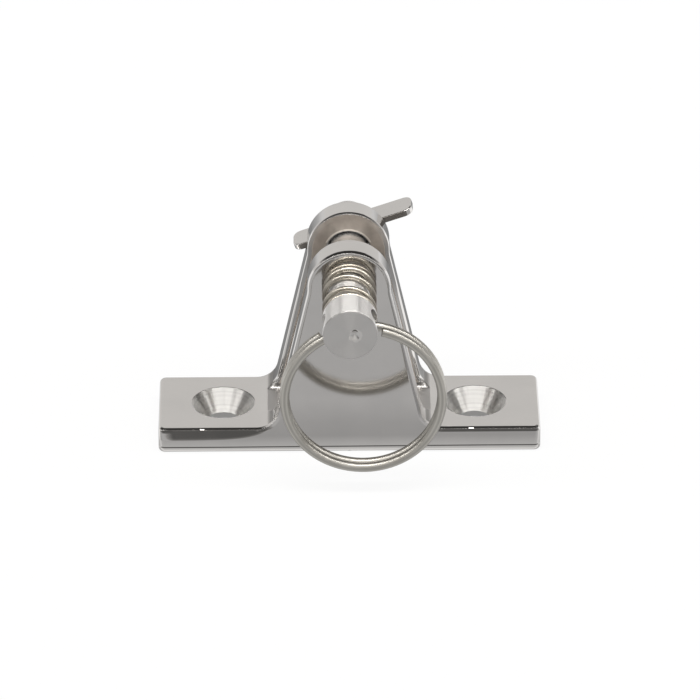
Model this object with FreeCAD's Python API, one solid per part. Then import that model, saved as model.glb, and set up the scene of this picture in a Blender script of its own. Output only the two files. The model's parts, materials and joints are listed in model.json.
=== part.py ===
import FreeCAD
import Part
import math
import os

# All sizes are in millimetres, all tilts in degrees.
# The frame is X to the right, Y away from the viewer, Z up.
# The origin is the middle of the underside of the base.

# base plate
base_length = 57.4
base_width = 16.6
base_thick = 4.0
base_corner = 1.0
rim_round = 0.6

# countersunk screw holes
screw_spacing = 38.0
screw_hole = 5.0
sink_top = 9.4
sink_depth = 3.1
sink_lip = 0.25

# shaft of the removable pin, and the spring wound round it
shaft_diameter = 6.1
spring_length = 8.9
spring_wire = 0.85
spring_play = 0.155
spring_seat = 0.02
spring_closed_pitch = 1.12
first_crest_share = 0.22
second_crest_share = 0.835

# ears of the clevis
clevis_gap = 7.4
pin_height = 27.8
bore_play = 0.2
bore_lip = 0.4
ear_wall = 2.95
ear_foot_half = 11.35
ear_foot_round = 3.3
ear_waist_inset = 0.15
ear_waist_round = 5.0
gap_floor_rise = 0.45
inner_round = 0.85
root_round = 0.6

# head of the pin
head_diameter = 8.1
head_length = 5.2
head_round = 0.25
lathe_mark_offset = 0.65
lathe_mark_diameter = 1.7
lathe_mark_depth = 0.42

# split pull ring and its hole through the head
ring_wire = 1.40
ring_outside = 24.65
ring_tilt = 9.4
ring_hole_play = 1.4
ring_hole_chamfer = 0.4
ring_rest_gap = 0.37
ring_turn_gap = 0.04
ring_end_gap = 0.55

# flat toggle in the slotted end of the pin
toggle_tilt = 19.5
toggle_stand_off = 1.6
toggle_left = 8.6
toggle_right = 10.25
toggle_width = 4.45
toggle_thick = 1.0
toggle_corner = 1.3
toggle_round = 0.18
toggle_play = 0.1
shaft_past_toggle = 0.25
shaft_end_round = 0.5

# rivet that the toggle turns on
rivet_inset = 2.2
rivet_diameter = 1.5
rivet_proud = 0.15
rivet_round = 0.3

# sizes that follow from the ones above
ear_bore = shaft_diameter + 2 * bore_play
ear_top_radius = ear_bore / 2 + ear_wall
ear_face = base_width / 2
gap_floor = base_thick + gap_floor_rise
head_back = -(ear_face + spring_length)
head_front = head_back - head_length
ring_mean = (ring_outside - ring_wire) / 2
ring_hole = 2 * ring_wire + ring_hole_play
ring_hole_y = (head_back + head_front) / 2
toggle_front = ear_face + toggle_stand_off
toggle_back = toggle_front + toggle_width
rivet_y = toggle_front + rivet_inset
shaft_end = toggle_back + shaft_past_toggle
slot_width = toggle_thick + 2 * toggle_play
slot_start = rivet_y - min(toggle_left, toggle_right) - 3 * toggle_play

# how far cutting tools reach past what they cut
past = 1.0


def vec(x, y, z):
    return FreeCAD.Vector(x, y, z)


def edges_where(shape, test):
    return [edge for edge in shape.Edges if test(edge)]


def quarter_middle(start, corner, end):
    """Middle of the quarter circle from start to end whose tangents meet at corner."""
    share = 1 - math.sqrt(0.5)
    return tuple(c + (s + e - 2 * c) * share for s, c, e in zip(start, corner, end))


def turned_solid(start, steps):
    """Solid turned about Y. Points are (radius, y), and a pair of points rounds off a corner."""
    edges = []
    here = start
    for step in steps + [start]:
        if isinstance(step[0], tuple):
            corner, end = step
            middle = quarter_middle(here, corner, end)
            edges.append(Part.Arc(vec(*here, 0), vec(*middle, 0), vec(*end, 0)).toShape())
        else:
            end = step
            edges.append(Part.makeLine(vec(*here, 0), vec(*end, 0)))
        here = end
    return Part.Face(Part.Wire(edges)).revolve(vec(0, 0, 0), vec(0, 1, 0), 360)


def tilted_axes(tilt):
    """Direction along a cross axis tilted in the front view, and the one square to it."""
    a = math.radians(tilt)
    return vec(math.cos(a), 0, math.sin(a)), vec(-math.sin(a), 0, math.cos(a))


def tilt_onto_pin(shape, tilt):
    """Turn a shape made level at the origin, and lift it to the axis of the pin."""
    shape.rotate(vec(0, 0, 0), vec(0, 1, 0), -tilt)
    shape.translate(vec(0, 0, pin_height))
    return shape


def fork_outline(y):
    """Front view of the base with the tall ear, as a closed wire at depth y."""
    half = base_length / 2
    t = base_thick
    r = ear_top_radius
    w = ear_waist_round
    # the straight flank leans in from the foot and passes just inside the round top
    waist = r - ear_waist_inset
    lean = math.atan2(ear_foot_half - waist, pin_height - t)
    up = (-math.sin(lean), math.cos(lean))
    out = (math.cos(lean), math.sin(lean))
    # a hollow arc eases the flank into the round top
    start = (ear_foot_half + out[0] * w, t - pin_height + out[1] * w)
    along = start[0] * up[0] + start[1] * up[1]
    aside = start[0] * out[0] + start[1] * out[1]
    climb = -along - math.sqrt((r + w) ** 2 - aside**2)
    hollow = (start[0] + up[0] * climb, pin_height + start[1] + up[1] * climb)
    waist_low = (hollow[0] - out[0] * w, hollow[1] - out[1] * w)
    share = r / (r + w)
    waist_high = (hollow[0] * share, pin_height + (hollow[1] - pin_height) * share)
    toward_x = (waist_low[0] + waist_high[0]) / 2 - hollow[0]
    toward_z = (waist_low[1] + waist_high[1]) / 2 - hollow[1]
    stretch = w / math.hypot(toward_x, toward_z)
    waist_middle = (hollow[0] + toward_x * stretch, hollow[1] + toward_z * stretch)
    # the foot fillet joins the flank to the top of the base
    reach = ear_foot_round * math.tan((math.pi / 2 - lean) / 2)
    foot = (ear_foot_half + reach, t)
    flank_low = (ear_foot_half + up[0] * reach, t + up[1] * reach)
    middle_angle = (math.radians(-90) + math.radians(-180) + lean) / 2
    foot_middle = (
        foot[0] + ear_foot_round * math.cos(middle_angle),
        t + ear_foot_round * (1 + math.sin(middle_angle)),
    )

    def at(side, point):
        return vec(side * point[0], y, point[1])

    edges = [Part.makeLine(vec(-half, y, 0), vec(half, y, 0))]
    edges.append(Part.Arc(at(1, waist_high), at(1, (0, pin_height + r)), at(-1, waist_high)).toShape())
    for side in (1, -1):
        edges.append(Part.makeLine(at(side, (half, 0)), at(side, (half, t))))
        edges.append(Part.makeLine(at(side, (half, t)), at(side, foot)))
        edges.append(Part.Arc(at(side, foot), at(side, foot_middle), at(side, flank_low)).toShape())
        edges.append(Part.makeLine(at(side, flank_low), at(side, waist_low)))
        edges.append(
            Part.Arc(at(side, waist_low), at(side, waist_middle), at(side, waist_high)).toShape()
        )
    return Part.Wire(Part.__sortEdges__(edges))


def screw_cutter(x):
    """Countersunk hole with a small rounded lip, turned about its own axis."""
    r = screw_hole / 2
    top = sink_top / 2
    t = base_thick
    slope = math.atan2(top - r, sink_depth)
    # the lip rolls from the flat top into the cone
    turn = math.pi / 2 - slope
    reach = sink_lip * math.tan(turn / 2)
    lip_out = top + reach
    lip_in = (top - reach * math.sin(slope), t - reach * math.cos(slope))
    roll = math.pi / 2 + turn / 2
    lip_middle = (lip_out + sink_lip * math.cos(roll), t - sink_lip * (1 - math.sin(roll)))

    def at(point):
        return vec(point[0], 0, point[1])

    corners = [(lip_out, t), (lip_out, t + past), (0, t + past), (0, -past), (r, -past)]
    corners += [(r, t - sink_depth), lip_in]
    edges = [Part.makeLine(at(p), at(q)) for p, q in zip(corners, corners[1:])]
    edges.append(Part.Arc(at(lip_in), at(lip_middle), at((lip_out, t))).toShape())
    tool = Part.Face(Part.Wire(edges)).revolve(vec(0, 0, 0), vec(0, 0, 1), 360)
    tool.translate(vec(x, 0, 0))
    return tool


def bore_cutter():
    """Pin bore through both ears with a rounded lip at each of the four mouths."""
    r = ear_bore / 2
    rim = r + bore_lip
    out = ear_face
    inn = clevis_gap / 2
    tool = turned_solid(
        (0, -out - past),
        [
            (rim, -out - past),
            (rim, -out),
            ((r, -out), (r, -out + bore_lip)),
            (r, -inn - bore_lip),
            ((r, -inn), (rim, -inn)),
            (rim, inn),
            ((r, inn), (r, inn + bore_lip)),
            (r, out - bore_lip),
            ((r, out), (rim, out)),
            (rim, out + past),
            (0, out + past),
        ],
    )
    tool.translate(vec(0, 0, pin_height))
    return tool


def make_fork():
    """Base plate and both ears, cast in one."""
    body = Part.Face(fork_outline(-ear_face)).extrude(vec(0, base_width, 0))
    half = base_length / 2

    def span(edge, axis):
        return abs(getattr(edge.Vertexes[0], axis) - getattr(edge.Vertexes[-1], axis))

    corners = edges_where(
        body,
        lambda e: all(abs(abs(v.X) - half) < 1e-6 for v in e.Vertexes)
        and span(e, "Z") > base_thick / 2,
    )
    body = body.makeFillet(base_corner, corners)
    # every outer edge except the ones that run in depth and the upright corners
    rims = edges_where(
        body,
        lambda e: span(e, "Y") < base_width - 0.1
        and (
            span(e, "Z") < base_thick - 0.1
            or max(v.Z for v in e.Vertexes) > base_thick + 0.01
        ),
    )
    body = body.makeFillet(rim_round, rims)
    gap = Part.makeBox(
        base_length,
        clevis_gap,
        pin_height + ear_top_radius,
        vec(-half, -clevis_gap / 2, gap_floor),
    )
    # the floor of the gap curves up into both ears
    roots = edges_where(
        gap,
        lambda e: span(e, "X") > base_length / 2 and abs(e.Vertexes[0].Z - gap_floor) < 1e-6,
    )
    body = body.cut(gap.makeFillet(root_round, roots))
    # the mouth of the gap is eased all the way round
    root_top = gap_floor + root_round
    mouth = edges_where(
        body,
        lambda e: all(
            v.Z > gap_floor - 1e-6 and abs(v.Y) < clevis_gap / 2 + 1e-6 for v in e.Vertexes
        )
        and not (span(e, "X") > ear_foot_half and e.BoundBox.ZMax < root_top + 0.01),
    )
    body = body.makeFillet(inner_round, mouth)
    body = body.cut(bore_cutter())
    for x in (-screw_spacing / 2, screw_spacing / 2):
        body = body.cut(screw_cutter(x))
    return body


def make_pin():
    """Shaft and head turned in one, with the ring hole, the toggle slot and the rivet hole."""
    r = shaft_diameter / 2
    big = head_diameter / 2
    edge = head_round
    tip = shaft_end_round
    body = turned_solid(
        (0, head_front),
        [
            (big - edge, head_front),
            ((big, head_front), (big, head_front + edge)),
            (big, head_back - edge),
            ((big, head_back), (big - edge, head_back)),
            (r, head_back),
            (r, shaft_end - tip),
            ((r, shaft_end), (r - tip, shaft_end)),
            (0, shaft_end),
        ],
    )
    body.translate(vec(0, 0, pin_height))

    # centre mark left by the lathe, slightly off the middle
    mark = Part.makeCone(
        0.12,
        lathe_mark_diameter / 2,
        lathe_mark_depth,
        vec(lathe_mark_offset, head_front + lathe_mark_depth - 0.02, pin_height),
        vec(0, -1, 0),
    )
    body = body.cut(mark)

    # hole for the ring, with eased mouths on the sides of the head
    cross, _ = tilted_axes(ring_tilt)
    centre = vec(0, ring_hole_y, pin_height)
    drill = Part.makeCylinder(
        ring_hole / 2, 2 * head_diameter, centre - cross * head_diameter, cross
    )
    body = body.cut(drill)
    mouths = edges_where(
        body,
        lambda e: abs(e.BoundBox.YLength - ring_hole) < 0.05
        and abs(e.BoundBox.Center.y - ring_hole_y) < 0.05
        and e.BoundBox.XMin * e.BoundBox.XMax > 0,
    )
    body = body.makeChamfer(ring_hole_chamfer, mouths)

    # slot for the toggle, with a round inner end
    slot = Part.makeBox(
        2 * shaft_diameter,
        shaft_end + past - slot_start,
        slot_width,
        vec(-shaft_diameter, slot_start, -slot_width / 2),
    )
    inner_end = edges_where(
        slot,
        lambda e: all(abs(v.Y - slot_start) < 1e-6 for v in e.Vertexes)
        and abs(e.Vertexes[0].X - e.Vertexes[-1].X) > shaft_diameter,
    )
    slot = slot.makeFillet(0.48 * slot_width, inner_end)
    body = body.cut(tilt_onto_pin(slot, toggle_tilt))

    # rivet hole across the two prongs
    _, across = tilted_axes(toggle_tilt)
    middle = vec(0, rivet_y, pin_height)
    drill = Part.makeCylinder(
        rivet_diameter / 2, 2 * shaft_diameter, middle - across * shaft_diameter, across
    )
    return body.cut(drill)


def make_toggle():
    """Flat bar with rounded corners, turning on the rivet."""
    bar = Part.makeBox(
        toggle_left + toggle_right,
        toggle_width,
        toggle_thick,
        vec(-toggle_left, toggle_front, -toggle_thick / 2),
    )
    upright = edges_where(bar, lambda e: abs(e.Vertexes[0].Z - e.Vertexes[-1].Z) > 0.01)
    bar = bar.makeFillet(toggle_corner, upright)
    flat = edges_where(bar, lambda e: abs(e.Vertexes[0].Z - e.Vertexes[-1].Z) < 0.01)
    bar = bar.makeFillet(toggle_round, flat)
    hole = Part.makeCylinder(
        rivet_diameter / 2 + toggle_play, 2 * toggle_thick, vec(0, rivet_y, -toggle_thick)
    )
    return tilt_onto_pin(bar.cut(hole), toggle_tilt)


def make_rivet():
    """Short rivet, pressed into the prongs and domed at both ends."""
    half = shaft_diameter / 2 + rivet_proud
    body = Part.makeCylinder(rivet_diameter / 2, 2 * half, vec(0, rivet_y, -half))
    body = body.makeFillet(rivet_round, edges_where(body, lambda e: len(e.Vertexes) == 1))
    return tilt_onto_pin(body, toggle_tilt)


def wire_section(centre, direction, radius):
    return Part.Wire([Part.Circle(centre, direction, radius).toShape()])


def smooth_step(share):
    share = min(1.0, max(0.0, share))
    return share * share * (3 - 2 * share)


def make_ring():
    """Split ring of two turns side by side. One crossing stretch lies in the hole of the head."""
    cross, up = tilted_axes(ring_tilt)
    head_radius = head_diameter / 2
    # the wire rests on the lower edges of the two mouths of the hole
    bow = ring_mean - math.sqrt(ring_mean**2 - head_radius**2)
    sag = (ring_hole - ring_wire) / 2 - bow - ring_rest_gap
    centre = vec(0, ring_hole_y, pin_height) - up * (ring_mean + sag)
    # both ends of the wire stop just beside the head
    end_angle = math.degrees(math.asin((head_radius + ring_end_gap) / ring_mean))
    lane = (ring_wire + ring_turn_gap) / 2

    def at(angle, y):
        """Middle of the wire at an angle from the top of the ring, in a lane at depth y."""
        a = math.radians(angle)
        return centre + cross * (ring_mean * math.sin(a)) + up * (ring_mean * math.cos(a)) + vec(0, y, 0)

    def heading(angle):
        a = math.radians(angle)
        return cross * math.cos(a) - up * math.sin(a)

    turns = []
    for y in (-lane, lane):
        section = Part.Face(wire_section(at(end_angle, y), heading(end_angle), ring_wire / 2))
        turns.append(section.revolve(centre, vec(0, 1, 0), 360 - 2 * end_angle))

    # the wire changes lane once, inside the head
    steps = 8
    path = []
    for i in range(steps + 1):
        share = i / steps
        angle = end_angle * (2 * share - 1)
        path.append(at(angle, lane * (2 * smooth_step(share) - 1)))
    curve = Part.BSplineCurve()
    curve.interpolate(
        Points=path, InitialTangent=heading(-end_angle), FinalTangent=heading(end_angle)
    )
    section = wire_section(path[0], heading(-end_angle), ring_wire / 2)
    crossing = Part.Wire([curve.toShape()]).makePipeShell([section], True, False)
    return turns[0].fuse([crossing, turns[1]])


def spring_stations():
    """Turns counted from the top of the first coil, with the depth of the wire there."""
    travel = spring_length - spring_wire - 2 * spring_seat
    closed = spring_closed_pitch * spring_wire
    free = travel - 2 * closed
    start = -0.55
    end = 3.45
    return [
        (start, 0),
        (0, 0),
        (start + 1, closed),
        (1, closed + free * first_crest_share),
        (2, closed + free * second_crest_share),
        (end - 1, travel - closed),
        (3, travel),
        (end, travel),
    ]


def eased(stations, x):
    """Value at x on a smooth curve through the stations that never runs back."""
    rises = [(q[1] - p[1]) / (q[0] - p[0]) for p, q in zip(stations, stations[1:])]
    slopes = [0.0]
    for a, b in zip(rises, rises[1:]):
        slopes.append(2 * a * b / (a + b) if a * b > 0 else 0.0)
    slopes.append(0.0)
    i = 0
    while i < len(rises) - 1 and x > stations[i + 1][0]:
        i += 1
    x0, y0 = stations[i]
    x1, y1 = stations[i + 1]
    w = x1 - x0
    s = (x - x0) / w
    blend = smooth_step(s)
    return (
        y0 * (1 - blend)
        + y1 * blend
        + w * s * (1 - s) * (slopes[i] * (1 - s) - slopes[i + 1] * s)
    )


def make_spring():
    """Compression spring between the ear and the head, close wound at both ends."""
    stations = spring_stations()
    first = stations[0][0]
    last = stations[-1][0]
    mean = shaft_diameter / 2 + spring_play + spring_wire / 2
    on_ear = -(ear_face + spring_seat + spring_wire / 2)
    steps = 96
    points = []
    for i in range(steps + 1):
        turns = first + (last - first) * i / steps
        a = 2 * math.pi * turns
        depth = on_ear - eased(stations, turns)
        points.append(vec(mean * math.sin(a), depth, pin_height + mean * math.cos(a)))
    curve = Part.BSplineCurve()
    curve.interpolate(points)
    section = wire_section(points[0], curve.tangent(curve.FirstParameter)[0], spring_wire / 2)
    return Part.Wire([curve.toShape()]).makePipeShell([section], True, True)


nodes = {
    "fork": make_fork(),
    "pin": make_pin(),
    "spring": make_spring(),
    "ring": make_ring(),
    "toggle": make_toggle(),
    "rivet": make_rivet(),
}

os.makedirs("parts", exist_ok=True)
for name, shape in nodes.items():
    if shape.ShapeType != "Solid" and len(shape.Solids) == 1:
        shape = shape.Solids[0]
    box = shape.BoundBox
    print(
        name,
        "solids", len(shape.Solids),
        "valid", shape.isValid(),
        "volume", round(shape.Volume, 2),
        "x", round(box.XMin, 2), round(box.XMax, 2),
        "y", round(box.YMin, 2), round(box.YMax, 2),
        "z", round(box.ZMin, 2), round(box.ZMax, 2),
    )
    shape.exportStep("parts/" + name + ".step")
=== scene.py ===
import json
import math
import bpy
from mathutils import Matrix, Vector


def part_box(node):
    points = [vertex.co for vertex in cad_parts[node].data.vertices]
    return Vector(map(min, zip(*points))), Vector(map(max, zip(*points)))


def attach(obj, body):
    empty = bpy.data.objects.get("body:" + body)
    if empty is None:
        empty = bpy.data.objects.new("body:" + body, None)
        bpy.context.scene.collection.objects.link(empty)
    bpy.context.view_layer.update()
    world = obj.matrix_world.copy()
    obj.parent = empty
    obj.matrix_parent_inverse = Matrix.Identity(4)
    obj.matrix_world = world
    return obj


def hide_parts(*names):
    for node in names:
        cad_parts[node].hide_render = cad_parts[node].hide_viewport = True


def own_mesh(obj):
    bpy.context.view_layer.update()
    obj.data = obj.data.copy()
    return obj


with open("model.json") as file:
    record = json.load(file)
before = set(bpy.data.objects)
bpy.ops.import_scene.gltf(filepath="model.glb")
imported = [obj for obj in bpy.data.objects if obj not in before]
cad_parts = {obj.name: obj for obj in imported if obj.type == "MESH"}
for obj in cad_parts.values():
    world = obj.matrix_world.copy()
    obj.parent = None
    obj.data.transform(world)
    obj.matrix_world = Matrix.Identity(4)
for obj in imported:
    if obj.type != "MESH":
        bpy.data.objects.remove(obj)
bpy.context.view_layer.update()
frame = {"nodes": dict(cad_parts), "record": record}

from types import SimpleNamespace
import bmesh
import bpy
from mathutils import Quaternion, Vector

mm = 0.001
bpy.context.scene.view_settings.view_transform = "Standard"
print("frame loaded:", sorted(frame["nodes"]))


# small helpers for shader nodes

def addNode(tree, kind, settings=None, **inputs):
    # inputs are named as on the node, or i0, i1 and so on by their place
    node = tree.nodes.new("ShaderNode" + kind)
    for name, value in (settings or {}).items():
        setattr(node, name, value)
    for name, value in inputs.items():
        socket = node.inputs[int(name[1:]) if name[1:].isdigit() else name]
        if isinstance(value, bpy.types.NodeSocket):
            tree.links.new(value, socket)
        else:
            socket.default_value = value
    return node


def mathNode(tree, operation, a, b=0.0, c=0.0):
    return addNode(tree, "Math", {"operation": operation}, i0=a, i1=b, i2=c).outputs[0]


def chain(tree, operation, first, *rest):
    for value in rest:
        first = mathNode(tree, operation, first, value)
    return first


def times(tree, *values):
    return chain(tree, "MULTIPLY", *values)


def plus(tree, *values):
    return chain(tree, "ADD", *values)


def minus(tree, a, b):
    return mathNode(tree, "SUBTRACT", a, b)


def absOf(tree, value):
    return mathNode(tree, "ABSOLUTE", value)


def most(tree, a, b):
    return mathNode(tree, "MAXIMUM", a, b)


def least(tree, a, b):
    return mathNode(tree, "MINIMUM", a, b)


def under(tree, value, limit):
    return mathNode(tree, "LESS_THAN", value, limit)


def over(tree, value, limit):
    return mathNode(tree, "GREATER_THAN", value, limit)


def between(tree, value, low, high):
    return times(tree, over(tree, value, low), under(tree, value, high))


def reachOf(tree, a, b):
    return mathNode(tree, "SQRT", mathNode(tree, "MULTIPLY_ADD", a, a, times(tree, b, b)))


def spread(tree, value, span, result=(0.0, 1.0), kind="LINEAR"):
    # turns a span of the value into a span of the result, and stays level beyond both ends
    node = addNode(tree, "MapRange", {"interpolation_type": kind}, i0=value, i1=span[0], i2=span[1],
                   i3=result[0], i4=result[1])
    return node.outputs[0]


def blendValue(tree, share, a, b):
    return addNode(tree, "Mix", {"data_type": "FLOAT"}, i0=share, i2=a, i3=b).outputs[0]


def blendColour(tree, share, a, b, how="MIX"):
    return addNode(tree, "Mix", {"data_type": "RGBA", "blend_type": how}, i0=share, i6=a, i7=b).outputs[2]


def ramp(tree, value, stops):
    node = addNode(tree, "ValToRGB", i0=value)
    elements = node.color_ramp.elements
    while len(elements) < len(stops):
        elements.new(0.5)
    for element, (place, colour) in zip(elements, stops):
        element.position = place
        element.color = (*colour, 1)
    return node.outputs["Color"]


# camera at the photograph's angle

cameraShot = {
    "target": Vector((0.22, 5.47, 9.9)) * mm,
    "distance": 950 * mm,
    "elevation": 29.0,
    "yaw": 0.5,          # the left end of the base is a little nearer
    "roll": -0.12,
    "lens": 322.5,
    "sensor": 36.0,
    "clip": (0.05, 20.0),
}


def makeCamera():
    shot = cameraShot
    data = bpy.data.cameras.new("camera")
    data.lens = shot["lens"]
    data.sensor_width = shot["sensor"]
    data.clip_start, data.clip_end = shot["clip"]
    camera = bpy.data.objects.new("camera", data)
    elevation = math.radians(shot["elevation"])
    yaw = math.radians(shot["yaw"])
    level = math.cos(elevation)
    away = Vector((-math.sin(yaw) * level, -math.cos(yaw) * level, math.sin(elevation)))
    camera.location = shot["target"] + away * shot["distance"]
    roll = Quaternion((0, 0, 1), math.radians(shot["roll"]))
    camera.rotation_euler = ((-away).to_track_quat("-Z", "Y") @ roll).to_euler()
    bpy.context.scene.collection.objects.link(camera)
    bpy.context.scene.camera = camera


makeCamera()
print("camera placed")


# room: white to the camera, while polished metal sees the tones below, which go by the angle from 0 at the
# horizon on the camera's side, over 90 overhead, to 180 at the horizon behind the hinge

cameraWall = [(0, 0.42), (5, 0.13), (14, 0.13), (22, 0.675), (50, 0.75), (72, 0.75)]
backWall = [(149, 0.80), (180, 0.80)]
room = {
    "middle": [
        *cameraWall, (82, 0.05), (86, 0.05), (89, 0.34), (108, 0.34), (112, 0.05), (146, 0.05), *backWall,
    ],
    "sides": [*cameraWall, (82, 0.42), (146, 0.42), *backWall],
    "sidesFrom": (1.1, 2.2),     # distance aside over height where the sides take over from the middle
    # a strip of bright panels overhead: its share by the angle, and its tone by distance aside over height
    "strip": [(70, 0), (74, 1), (80, 1), (84, 0)],
    "panels": [
        (0, 13.0), (0.48, 13.0), (0.5, 0.16), (0.64, 0.16), (0.66, 9.0), (1.8, 9.0), (1.9, 0.16), (2, 0.16),
    ],
    "strength": 16.0,            # of the background, as its colour stops go no higher than 1
    "lowest": 0.001,             # directions below the horizon count as this high
    "white": (1.0, 0.985, 0.965),
}


def makeWorld():
    world = bpy.data.worlds.new("studio")
    bpy.context.scene.world = world
    world.use_nodes = True
    tree = world.node_tree
    tree.nodes.clear()
    axes = addNode(tree, "SeparateXYZ", i0=addNode(tree, "TexCoord").outputs["Generated"])
    height = most(tree, axes.outputs["Z"], room["lowest"])
    around = mathNode(tree, "ARCTAN2", height, times(tree, axes.outputs["Y"], -1))
    halfTurns = mathNode(tree, "DIVIDE", around, math.pi)
    aside = mathNode(tree, "DIVIDE", absOf(tree, axes.outputs["X"]), height)

    def tones(value, stops):
        full = stops[-1][0]
        shares = []
        for place, tone in stops:
            shares.append((place / full, [tone / room["strength"] * part for part in room["white"]]))
        return ramp(tree, value, shares)

    atSides = spread(tree, aside, room["sidesFrom"])
    walls = blendColour(tree, atSides, tones(halfTurns, room["middle"]), tones(halfTurns, room["sides"]))
    strip = ramp(tree, halfTurns, [(angle / 180, (share,) * 3) for angle, share in room["strip"]])
    panels = tones(mathNode(tree, "DIVIDE", aside, room["panels"][-1][0]), room["panels"])
    glow = addNode(tree, "Background", i0=blendColour(tree, strip, walls, panels), i1=room["strength"])
    white = addNode(tree, "Background", i0=(1, 1, 1, 1), i1=1.0)
    seen = addNode(tree, "LightPath").outputs["Is Camera Ray"]
    shown = addNode(tree, "MixShader", i0=seen, i1=glow.outputs[0], i2=white.outputs[0])
    addNode(tree, "OutputWorld", i0=shown.outputs[0])


# floor: white to the camera, while polished metal sees painted light and shadow on it, in the tones below,
# which go by distances in mm

floorLook = {
    "half": 3.0,                 # metres
    "drop": 0.02,                # below the base, in mm
    "paint": 0.07,               # to the camera: the little that takes up shadow
    "white": 0.92,               # and the glow over it
    "bounce": 0.6,               # to all but the camera and polished metal
    "strength": 2.0,             # of the reflected tones, as colour stops go no higher than 1
    "baseLong": 28.7,            # half the length and half the width of the base
    "baseWide": 8.3,
    # painted light and painted shadow by distance in front of the base, and painted shadow by distance behind
    # it
    "front": [(0, 1.25), (0.5, 0.9), (1.2, 0.66), (3, 0.58), (5, 0.46), (9, 0.48), (16, 0.58), (60, 0.58)],
    "back": [(0, 0.26), (60, 0.28), (110, 0.42), (250, 0.66), (500, 0.78)],
    # painted light beside the base, and share of the painted shadow behind it, in half turns from right over
    # back to left
    "beside": [(0.4, 1.35), (0.6, 1.15)],
    "behind": [(0.28, 0), (0.36, 1), (0.68, 1), (0.76, 0)],
    "besideNear": 0.62,          # painted shade against the ends of the base
    "besideWidth": 12.0,         # and how far out it fades
    # the floor in the shade of the base, seen through its screw holes: half its size, and its tones
    "shadeLong": 28.0, "shadeWide": 7.4, "shade": 0.30, "shadeInMetal": 0.22,
}


def placeInMm(tree):
    metres = addNode(tree, "TexCoord").outputs["Object"]
    return addNode(tree, "VectorMath", {"operation": "SCALE"}, i0=metres, Scale=1 / mm).outputs[0]


def grey(value):
    return (value, value, value, 1)


def floorInMetal(tree, x, y):
    # tones of painted light and painted shadow on the floor, as polished metal sees them
    look = floorLook

    def tones(value, stops, full=1):
        return ramp(tree, value, [(place / full, (tone / look["strength"],) * 3) for place, tone in stops])

    def byDistance(distance, stops):
        full = stops[-1][0]
        return tones(mathNode(tree, "DIVIDE", distance, full), stops, full)

    ahead = mathNode(tree, "MULTIPLY_ADD", y, -1, -look["baseWide"])
    front = byDistance(ahead, look["front"])
    back = byDistance(minus(tree, y, look["baseWide"]), look["back"])
    turn = mathNode(tree, "ARCTAN2", times(tree, ahead, -1), x)
    halfTurns = mathNode(tree, "DIVIDE", turn, math.pi)
    far = tones(halfTurns, look["beside"])
    outward = minus(tree, absOf(tree, x), look["baseLong"])
    farther = spread(tree, outward, (0.0, look["besideWidth"]))
    beside = blendColour(tree, farther, grey(look["besideNear"] / look["strength"]), far)
    behind = ramp(tree, halfTurns, [(place, (share,) * 3) for place, share in look["behind"]])
    around = blendColour(tree, behind, beside, back)
    return blendColour(tree, over(tree, ahead, 0.0), around, front)


def floorPaint():
    look = floorLook
    material = bpy.data.materials.new("paleFloor")
    material.use_nodes = True
    tree = material.node_tree
    tree.nodes.clear()
    axes = addNode(tree, "SeparateXYZ", i0=placeInMm(tree))
    x, y = axes.outputs["X"], axes.outputs["Y"]
    shaded = times(tree, under(tree, absOf(tree, x), look["shadeLong"]),
                   under(tree, absOf(tree, y), look["shadeWide"]))
    white = blendValue(tree, shaded, look["white"], look["shade"])
    inMetal = blendColour(tree, shaded, floorInMetal(tree, x, y), grey(look["shadeInMetal"]))
    paint = addNode(tree, "BsdfDiffuse", i0=grey(look["paint"]))
    lit = addNode(tree, "Emission", i0=(1, 1, 1, 1), i1=white)
    direct = addNode(tree, "AddShader", i0=paint.outputs[0], i1=lit.outputs[0])
    mirrored = addNode(tree, "Emission", i0=inMetal, i1=look["strength"])
    bounce = addNode(tree, "BsdfDiffuse", i0=grey(look["bounce"]))
    light = addNode(tree, "LightPath")
    glossy = most(tree, light.outputs["Is Glossy Ray"], light.outputs["Is Transmission Ray"])
    inner = addNode(tree, "MixShader", i0=glossy, i1=bounce.outputs[0], i2=mirrored.outputs[0])
    seen = light.outputs["Is Camera Ray"]
    outer = addNode(tree, "MixShader", i0=seen, i1=inner.outputs[0], i2=direct.outputs[0])
    addNode(tree, "OutputMaterial", i0=outer.outputs[0])
    return material


def makeFloor():
    bm = bmesh.new()
    bmesh.ops.create_grid(bm, x_segments=1, y_segments=1, size=floorLook["half"])
    bmesh.ops.translate(bm, verts=bm.verts, vec=(0, 0, -floorLook["drop"] * mm))
    mesh = bpy.data.meshes.new("floor")
    bm.to_mesh(mesh)
    bm.free()
    mesh.materials.append(floorPaint())
    floor = bpy.data.objects.new("floor", mesh)
    bpy.context.scene.collection.objects.link(floor)


makeWorld()
makeFloor()
print("studio built")


# finishes: places, widths and heights are in millimetres, and noise scales are per millimetre

cloudSpan = (0.3, 0.7)      # values of the noise between which nearly all of it lies


def noise(tree, place, scale, detail):
    return addNode(tree, "TexNoise", Vector=place, Scale=scale, Detail=detail).outputs["Fac"]


def noiseAlong(tree, along, scale):
    node = addNode(tree, "TexNoise", {"noise_dimensions": "1D"}, W=along, Scale=scale, Detail=1.0)
    return node.outputs["Fac"]


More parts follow.
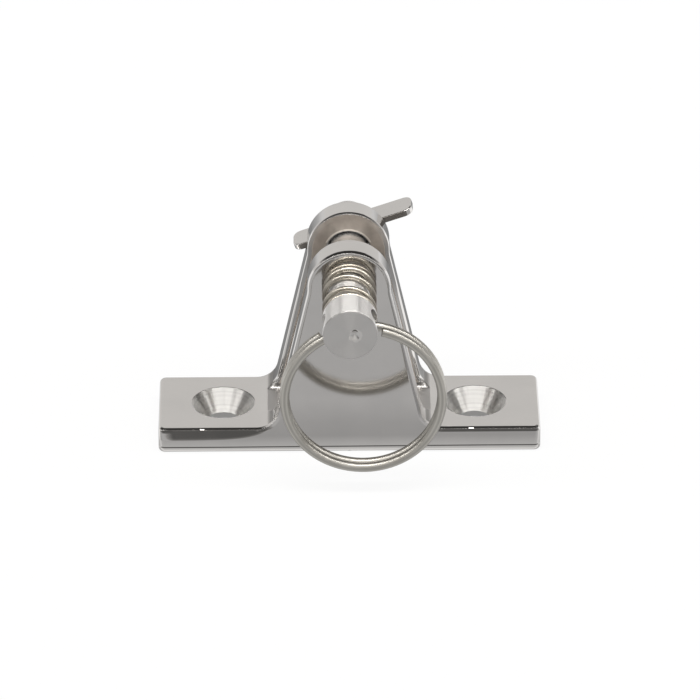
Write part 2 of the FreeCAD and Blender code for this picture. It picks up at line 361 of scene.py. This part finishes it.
def newFinish(name, look):
    # metal with soft patches of tone and gloss left by the buffing wheel
    material = bpy.data.materials.new(name)
    material.use_nodes = True
    tree = material.node_tree
    tree.nodes.clear()
    shader = addNode(tree, "BsdfPrincipled")
    shader.inputs["Metallic"].default_value = 1.0
    addNode(tree, "OutputMaterial", i0=shader.outputs[0])
    place = placeInMm(tree)
    axes = addNode(tree, "SeparateXYZ", i0=place)
    cloud = noise(tree, place, look["patches"], detail=3.0)
    low, high = cloudSpan
    tint = ramp(tree, cloud, [(low, look["dark"]), (high, look["light"])])
    rough = spread(tree, cloud, cloudSpan, (look["smooth"], look["rough"]))
    return SimpleNamespace(material=material, tree=tree, shader=shader, place=place, tint=tint, rough=rough,
                           x=axes.outputs["X"], y=axes.outputs["Y"], z=axes.outputs["Z"])


def overlay(finish, mask, tint=None, rough=None):
    # another tint or roughness where the mask is 1
    if tint is not None:
        tint = (*tint, 1) if isinstance(tint, tuple) else tint
        finish.tint = blendColour(finish.tree, mask, finish.tint, tint)
    if rough is not None:
        finish.rough = blendValue(finish.tree, mask, finish.rough, rough)


def closeFinish(finish, height=None):
    tree, shader = finish.tree, finish.shader
    tree.links.new(finish.tint, shader.inputs["Base Color"])
    tree.links.new(finish.rough, shader.inputs["Roughness"])
    if height is not None:
        bump = addNode(tree, "Bump", Height=times(tree, height, mm), Strength=1.0, Distance=1.0)
        tree.links.new(bump.outputs[0], shader.inputs["Normal"])
    return finish.material


def toolLines(tree, along, look):
    # height of the fine lines that a lathe tool leaves
    coarse = times(tree, noiseAlong(tree, along, look["lines"]), look["lineHeight"])
    fine = noiseAlong(tree, along, look["fineLines"])
    return mathNode(tree, "MULTIPLY_ADD", fine, look["fineHeight"], coarse)


def acrossLines(tree, x, y, z):
    # direction across the tool marks of a turned face, along which a highlight spreads
    local = addNode(tree, "CombineXYZ", i0=x, i1=y, i2=z).outputs[0]
    toWorld = {"vector_type": "VECTOR", "convert_from": "OBJECT", "convert_to": "WORLD"}
    turned = addNode(tree, "VectorTransform", toWorld, i0=local)
    return addNode(tree, "VectorMath", {"operation": "NORMALIZE"}, i0=turned.outputs[0]).outputs[0]


def inMm(metres):
    return metres / mm


pinHeight = inMm(frame["record"]["behaviour"]["joints"][1]["pos_m"][2])
screwX = frame["record"]["mounts"][0]["dims"]["spacing_x_mm"] / 2


# fork: polished all over, apart from the places below

castLook = {
    "light": (0.64, 0.622, 0.605), "dark": (0.60, 0.585, 0.57),
    "smooth": 0.04, "rough": 0.09, "patches": 0.18,
    "gap": {     # satin faces between the ears
        "half": 3.72, "above": 5.1,
        "crown": (24.0, 28.0), "crownExtra": 0.34,     # the satin goes over the roll of the crowns
        "light": (0.73, 0.67, 0.61), "dark": (0.56, 0.51, 0.46), "stains": 0.42, "stainSpan": (0.32, 0.62),
        "rough": 0.45,
    },
    "roots": {   # softer fillets at both ends of the ears' feet, with painted shade where they steepen
        "halfWide": 7.6, "middle": 4.62, "halfHigh": 0.57, "inner": 7.5, "outer": 12.3,
        "rough": 0.38, "steepShade": (4.45, 4.75), "tint": (0.30, 0.29, 0.28),
    },
    "bore": {    # painted shade inside, with a painted highlight along the eased mouth at its top
        "edge": 3.42, "dark": (0.03, 0.027, 0.024),
        "mouthEdge": 3.75, "mouthAbove": 1.5, "mouth": (0.93, 0.87, 0.80),
    },
    "flank": {   # less polished at the right of the near ear
        "inner": 3.0, "back": -4.0, "front": -8.25, "above": 5.0, "fade": (26.0, 29.0), "rough": 0.34,
    },
    "edges": {   # painted shade along the near ear's front edge at the right, and along the far ear's inner edge
        "inner": 3.0, "near": (-8.285, -7.95), "far": (3.715, 4.1), "farRight": (19.0, 23.0),
        "foot": (5.6, 7.0), "crown": (28.0, 32.0), "tint": (0.40, 0.39, 0.38),
    },
    "broad": {   # the front of the near ear, a shade softer than the rest
        "front": -8.26, "above": 5.0, "rough": 0.095,
    },
    "sinks": {   # turned countersinks, darker in the grooves of their tool lines as painted shade
        "radius": 4.74, "rough": 0.42,
        "light": (0.78, 0.77, 0.75), "dark": (0.66, 0.65, 0.635), "grooveShade": (0.36, 0.6),
        "lines": 2.6, "fineLines": 9.0, "lineHeight": 0.02, "fineHeight": 0.004,
    },
    "roll": {    # front of the base rolled off towards its top, most at the left, with a crisp edge
        "slope": 0.325, "low": 2.12, "climb": 0.17, "climbRate": 0.4, "climbFrom": -18.0,
        "high": 3.4, "easing": 4.0, "eased": 0.0125,
        "footX": 14.02, "footZ": 7.3, "footRadius": 3.3,
        # the crisp edge and the strip beyond it, by distance from the centre of the foot's curve
        "crisp": (3.9, 3.45), "crispBend": (0.86, 3.92),
        "rim": (3.45, 3.33), "rimLean": 0.8, "nicks": 0.42, "nickOver": 0.66,
        "ridge": (0.86, 0.98), "ridgeEnds": (-20.0, 20.0), "ridgeWidth": 0.2, "belowRidge": 0.05,
        "leftEnd": (-28.4, -26.4), "leftShare": 0.7, "front": -7.6, "fade": (5.6, 6.6),
    },
    "crowns": {  # crisp outer edge of the near crown and inner edge of the far one
        "fade": (20.0, 31.0), "face": 8.3,
        "outer": (0.14, 0.415), "outerLean": 1.057,
        "outerCurl": -1.56, "outerPower": 0.4, "outerLift": 0.5626,
        "inner": (3.7, 4.06), "innerLean": 0.5, "innerCurl": 1.2, "innerFade": (4.6, 7.6),
    },
    "hollow": {  # the near ear's flanks, from front to back
        "middle": -6.1, "half": 2.1, "depth": 0.42, "foot": (5.0, 8.0), "waist": (17.0, 27.0),
    },
}


def gapFaces(finish, look):
    tree = finish.tree
    edge = spread(tree, finish.z, look["crown"], (look["half"], look["half"] + look["crownExtra"]))
    mask = times(tree, under(tree, absOf(tree, finish.y), edge), over(tree, finish.z, look["above"]))
    stain = noise(tree, finish.place, look["stains"], detail=4.0)
    low, high = look["stainSpan"]
    overlay(finish, mask, ramp(tree, stain, [(low, look["dark"]), (high, look["light"])]), look["rough"])
    return edge


def roots(finish, look):
    tree = finish.tree
    across = under(tree, absOf(tree, finish.y), look["halfWide"])
    upright = under(tree, absOf(tree, minus(tree, finish.z, look["middle"])), look["halfHigh"])
    mask = times(tree, across, upright, between(tree, absOf(tree, finish.x), look["inner"], look["outer"]))
    overlay(finish, mask, rough=look["rough"])
    # painted shade where the fillets steepen
    overlay(finish, times(tree, mask, spread(tree, finish.z, look["steepShade"])), look["tint"])


def bores(finish, look):
    tree = finish.tree
    up = minus(tree, finish.z, pinHeight)
    fromPin = reachOf(tree, finish.x, up)
    # a painted highlight along the top of the mouth, and painted shade inside the bore
    mouth = times(tree, under(tree, fromPin, look["mouthEdge"]), over(tree, up, look["mouthAbove"]))
    overlay(finish, mouth, look["mouth"])
    overlay(finish, under(tree, fromPin, look["edge"]), look["dark"])


def rightFlank(finish, look, gapEdge):
    tree, y, z = finish.tree, finish.y, finish.z
    side = times(tree, over(tree, finish.x, look["inner"]), between(tree, y, look["front"], look["back"]))
    outside = over(tree, absOf(tree, y), gapEdge)
    upright = times(tree, over(tree, z, look["above"]), spread(tree, z, look["fade"], (1.0, 0.0)))
    overlay(finish, times(tree, side, outside, upright), rough=look["rough"])


def paintedEdgeShade(finish, look):
    tree, x, y, z = finish.tree, finish.x, finish.y, finish.z
    near = times(tree, over(tree, x, look["inner"]), between(tree, y, *look["near"]))
    far = times(tree, between(tree, y, *look["far"]),
                most(tree, under(tree, x, -look["inner"]), spread(tree, z, look["farRight"])))
    alongEar = times(tree, spread(tree, z, look["foot"]), spread(tree, z, look["crown"], (1.0, 0.0)))
    # painted shade along these edges
    overlay(finish, times(tree, most(tree, near, far), alongEar), look["tint"])


def broadFront(finish, look):
    tree = finish.tree
    mask = times(tree, under(tree, finish.y, look["front"]), over(tree, finish.z, look["above"]))
    overlay(finish, mask, rough=look["rough"])


def countersinks(finish, look):
    tree = finish.tree
    offset = minus(tree, absOf(tree, finish.x), screwX)
    fromHole = reachOf(tree, offset, finish.y)
    mask = under(tree, fromHole, look["radius"])
    lines = toolLines(tree, fromHole, look)
    share = mathNode(tree, "DIVIDE", lines, look["lineHeight"] + look["fineHeight"])
    # tone along the real tool lines, with painted shade in their grooves
    grooveShade = ramp(tree, share, [(look["grooveShade"][0], look["dark"]), (look["grooveShade"][1], look["light"])])
    overlay(finish, mask, grooveShade, look["rough"])
    tree.links.new(mask, finish.shader.inputs["Anisotropic"])
    outward = times(tree, offset, mathNode(tree, "SIGN", finish.x))
    tree.links.new(acrossLines(tree, outward, finish.y, 0.0), finish.shader.inputs["Tangent"])
    return times(tree, mask, lines)


def frontRoll(finish, look):
    tree, x, z = finish.tree, finish.x, finish.z
    slope = look["slope"]

    # the roll starts higher towards the foot, and ends at the foot's curve
    rate = look["climbRate"]
    climb = mathNode(tree, "EXPONENT", mathNode(tree, "MULTIPLY_ADD", x, rate, -rate * look["climbFrom"]))
    low = mathNode(tree, "MULTIPLY_ADD", climb, look["climb"], look["low"])
    foot = most(tree, plus(tree, x, look["footX"]), 0.0)
    high = mathNode(tree, "MULTIPLY_ADD", times(tree, foot, foot), 0.5 / look["footRadius"], look["high"])
    depth = most(tree, minus(tree, least(tree, z, high), low), 0.0)
    eased = minus(tree, 1.0, mathNode(tree, "EXPONENT", times(tree, depth, -look["easing"])))
    rolled = mathNode(tree, "MULTIPLY_ADD", depth, -slope, times(tree, eased, look["eased"]))

    # a crisp edge goes along the top and up round the foot
    inward = most(tree, mathNode(tree, "MULTIPLY_ADD", absOf(tree, x), -1, look["footX"]), 0.0)
    below = most(tree, minus(tree, look["footZ"], z), 0.0)
    fromCurve = reachOf(tree, inward, below)

    def inwards(start, end):
        return spread(tree, fromCurve, (start, end), (0.0, start - end))

    edge = inwards(*look["crisp"])
    gentle, sharp = look["crispBend"]
    gentleBend = times(tree, mathNode(tree, "POWER", edge, 2.0), gentle)
    bend = mathNode(tree, "MULTIPLY_ADD", mathNode(tree, "POWER", edge, 6.0), sharp, gentleBend)
    crisp = mathNode(tree, "MULTIPLY_ADD", edge, -slope, bend)

    # the strip beyond it leans back more, apart from a few nicks
    nicks = over(tree, noiseAlong(tree, x, look["nicks"]), look["nickOver"])
    lean = mathNode(tree, "MULTIPLY_ADD", nicks, look["rimLean"], -look["rimLean"])
    rim = times(tree, inwards(*look["rim"]), lean)
    fade = spread(tree, x, look["leftEnd"], (look["leftShare"], 1.0))
    rolled = times(tree, plus(tree, rolled, plus(tree, crisp, rim)), fade)

    # a low ridge runs along the bottom
    ridge = minus(tree, z, spread(tree, x, look["ridgeEnds"], look["ridge"]))
    upper = times(tree, spread(tree, ridge, (0.0, look["ridgeWidth"]), (-look["ridgeWidth"], 0.0)), -slope)
    lower = times(tree, least(tree, ridge, 0.0), look["belowRidge"])

    atFront = times(tree, under(tree, finish.y, look["front"]), spread(tree, z, look["fade"], (1.0, 0.0)))
    return times(tree, atFront, plus(tree, rolled, plus(tree, upper, lower)))


def crownEdges(finish, look):
    tree, y = finish.tree, finish.y
    outer = spread(tree, plus(tree, y, look["face"]), look["outer"], look["outer"])
    curl = times(tree, mathNode(tree, "POWER", outer, look["outerPower"]), look["outerCurl"])
    outer = plus(tree, mathNode(tree, "MULTIPLY_ADD", outer, look["outerLean"], curl), look["outerLift"])
    inner = spread(tree, y, look["inner"], (0.0, look["inner"][1] - look["inner"][0]))
    curl = times(tree, inner, inner, look["innerCurl"])
    inner = mathNode(tree, "MULTIPLY_ADD", inner, look["innerLean"], curl)
    inner = times(tree, inner, spread(tree, y, look["innerFade"], (1.0, 0.0)))
    return times(tree, spread(tree, finish.z, look["fade"]), plus(tree, outer, inner))


def flankHollow(finish, look):
    tree, z = finish.tree, finish.z
    fromMiddle = absOf(tree, minus(tree, finish.y, look["middle"]))
    hollow = spread(tree, fromMiddle, (0.0, look["half"]), (-look["depth"], 0.0), "SMOOTHSTEP")
    return times(tree, hollow, spread(tree, z, look["foot"], kind="SMOOTHSTEP"),
                 spread(tree, z, look["waist"], (1.0, 0.0), "SMOOTHSTEP"))


def castFinish():
    look = castLook
    finish = newFinish("castSteel", look)
    gapEdge = gapFaces(finish, look["gap"])
    roots(finish, look["roots"])
    bores(finish, look["bore"])
    rightFlank(finish, look["flank"], gapEdge)
    paintedEdgeShade(finish, look["edges"])
    broadFront(finish, look["broad"])
    lines = countersinks(finish, look["sinks"])
    height = plus(finish.tree, frontRoll(finish, look["roll"]), crownEdges(finish, look["crowns"]),
                  flankHollow(finish, look["hollow"]), lines)
    return closeFinish(finish, height)


# pin and rivet: turned, with a smoother shaft, a duller end on the head, and the marks of the lathe's centre
# in painted sheen and painted shade

turnedLook = {
    "light": (0.88, 0.865, 0.85), "dark": (0.82, 0.805, 0.79),
    "smooth": 0.38, "rough": 0.42, "patches": 0.18,
    "shaftFrom": -8.4, "shaftRough": 0.2,
    "endDepth": 0.1, "endColour": (0.62, 0.605, 0.59), "endRough": 0.3,
    # the lathe centre's marks: a lighter patch of painted sheen for its cone, and a dark spot of painted
    # shade for its pit
    "marks": [
        {"at": (0.78, -0.12), "radius": 1.0, "colour": (0.73, 0.71, 0.69)},
        {"at": (0.70, 0.55), "radius": 0.36, "colour": (0.16, 0.15, 0.14)},
    ],
    "wobble": 1.6, "least": 0.65, "wobbled": 0.7,      # uneven outline, in shares of a mark's radius
    "lines": 3.5, "fineLines": 11.0, "lineHeight": 0.012, "fineHeight": 0.004,
}


def turnedFinish():
    look = turnedLook
    finish = newFinish("turnedSteel", look)
    tree, x, y = finish.tree, finish.x, finish.y
    up = minus(tree, finish.z, pinHeight)
    fromAxis = reachOf(tree, x, up)
    overlay(finish, over(tree, y, look["shaftFrom"]), rough=look["shaftRough"])
    atEnd = under(tree, y, inMm(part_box("pin")[0].y) + look["endDepth"])
    overlay(finish, atEnd, look["endColour"], look["endRough"])
    wobble = noise(tree, finish.place, look["wobble"], detail=2.0)
    # painted sheen and painted shade of the lathe centre's cone and pit
    for mark in look["marks"]:
        markX, markUp = mark["at"]
        radius = mark["radius"]
        away = reachOf(tree, minus(tree, x, markX), minus(tree, up, markUp))
        outline = mathNode(tree, "MULTIPLY_ADD", wobble, look["wobbled"] * radius, look["least"] * radius)
        overlay(finish, times(tree, atEnd, under(tree, away, outline)), mark["colour"])
    finish.shader.inputs["Anisotropic"].default_value = 1.0
    tree.links.new(acrossLines(tree, x, fromAxis, up), finish.shader.inputs["Tangent"])
    along = plus(tree, fromAxis, y)      # rings on the end face, and rings along the side
    return closeFinish(finish, toolLines(tree, along, look))


# ring: painted highlight and painted shade in lines that run round the wire

ringLook = {
    "light": (0.74, 0.715, 0.665), "dark": (0.66, 0.635, 0.58), "smooth": 0.34, "rough": 0.40, "patches": 0.3,
    "wire": 1.4,
    # painted highlight and painted shade across the wire, from the inside of the ring to its outside
    "paintedSheenAndShade": [
        (0, 0.55), (0.14, 0.64), (0.3, 0.94), (0.42, 0.74), (0.54, 0.62), (0.74, 1), (0.88, 0.74), (1, 0.55),
    ],
}


def ringFinish():
    look = ringLook
    finish = newFinish("wireSteel", look)
    tree = finish.tree
    low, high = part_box("ring")
    outwardX = minus(tree, finish.x, inMm(low.x + high.x) / 2)
    outwardZ = minus(tree, finish.z, inMm(low.z + high.z) / 2)
    outside = inMm(high.x - low.x) / 2
    across = spread(tree, reachOf(tree, outwardX, outwardZ), (outside - look["wire"], outside))
    # painted highlight and painted shade across the wire
    lines = ramp(tree, across, [(share, (tone,) * 3) for share, tone in look["paintedSheenAndShade"]])
    finish.tint = blendColour(tree, 1.0, finish.tint, lines, "MULTIPLY")
    return closeFinish(finish)


# spring: painted shade down both sides of the coil

springLook = {
    "light": (0.62, 0.58, 0.51), "dark": (0.54, 0.50, 0.43), "smooth": 0.24, "rough": 0.30, "patches": 0.3,
    "sides": (3.1, 3.9), "sideShade": (0.16, 0.14, 0.12),
    "seat": Vector((0, -8.3, 27.8)) * mm, "free": 8.9, "pushed": 4.3,
    "merge": 0.0001, "sharp": 50.0,
}


def springFinish():
    look = springLook
    finish = newFinish("springSteel", look)
    # painted shade down both sides of the coil
    overlay(finish, spread(finish.tree, absOf(finish.tree, finish.x), look["sides"]), look["sideShade"])
    return closeFinish(finish)


# toggle: polished faces, and painted shade on the narrow faces where the bar was cut from its sheet, which
# are a little rougher too

toggleLook = {
    "light": (0.64, 0.622, 0.605), "dark": (0.60, 0.585, 0.57),
    "smooth": 0.08, "rough": 0.14, "patches": 0.18,
    "cut": 0.08, "cutShade": (0.22, 0.205, 0.19), "cutRough": 0.35,
}


def toggleFinish():
    look = toggleLook
    finish = newFinish("sheetSteel", look)
    tree, y = finish.tree, finish.y
    front, back = (inMm(corner.y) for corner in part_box("toggle"))
    cut = most(tree, under(tree, y, front + look["cut"]), over(tree, y, back - look["cut"]))
    # painted shade on the cut faces, which are also a little rougher
    overlay(finish, cut, look["cutShade"], look["cutRough"])
    return closeFinish(finish)


castSteel = castFinish()
turnedSteel = turnedFinish()
wireSteel = ringFinish()
springSteel = springFinish()
sheetSteel = toggleFinish()

dress = {
    "fork": castSteel, "toggle": sheetSteel, "pin": turnedSteel,
    "rivet": turnedSteel, "ring": wireSteel, "spring": springSteel,
}
for node, material in dress.items():
    for materialSlot in frame["nodes"][node].material_slots:
        materialSlot.material = material
print("finishes assigned")


# the spring closes up as the pin is pushed; here it is a piece of its own, fixed to the fork, and nothing
# makes it close up

def makeSpring():
    bm = bmesh.new()
    bm.from_mesh(frame["nodes"]["spring"].data)
    bmesh.ops.remove_doubles(bm, verts=bm.verts, dist=springLook["merge"] * mm)
    for face in bm.faces:
        face.smooth = True
    mesh = bpy.data.meshes.new("springCoils")
    bm.to_mesh(mesh)
    bm.free()
    mesh.set_sharp_from_angle(angle=math.radians(springLook["sharp"]))
    mesh.materials.clear()
    mesh.materials.append(springSteel)
    spring = bpy.data.objects.new("springCoils", mesh)
    bpy.context.scene.collection.objects.link(spring)
    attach(spring, "fork")
    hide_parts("spring")
    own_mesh(spring)


makeSpring()
print("spring coiled")
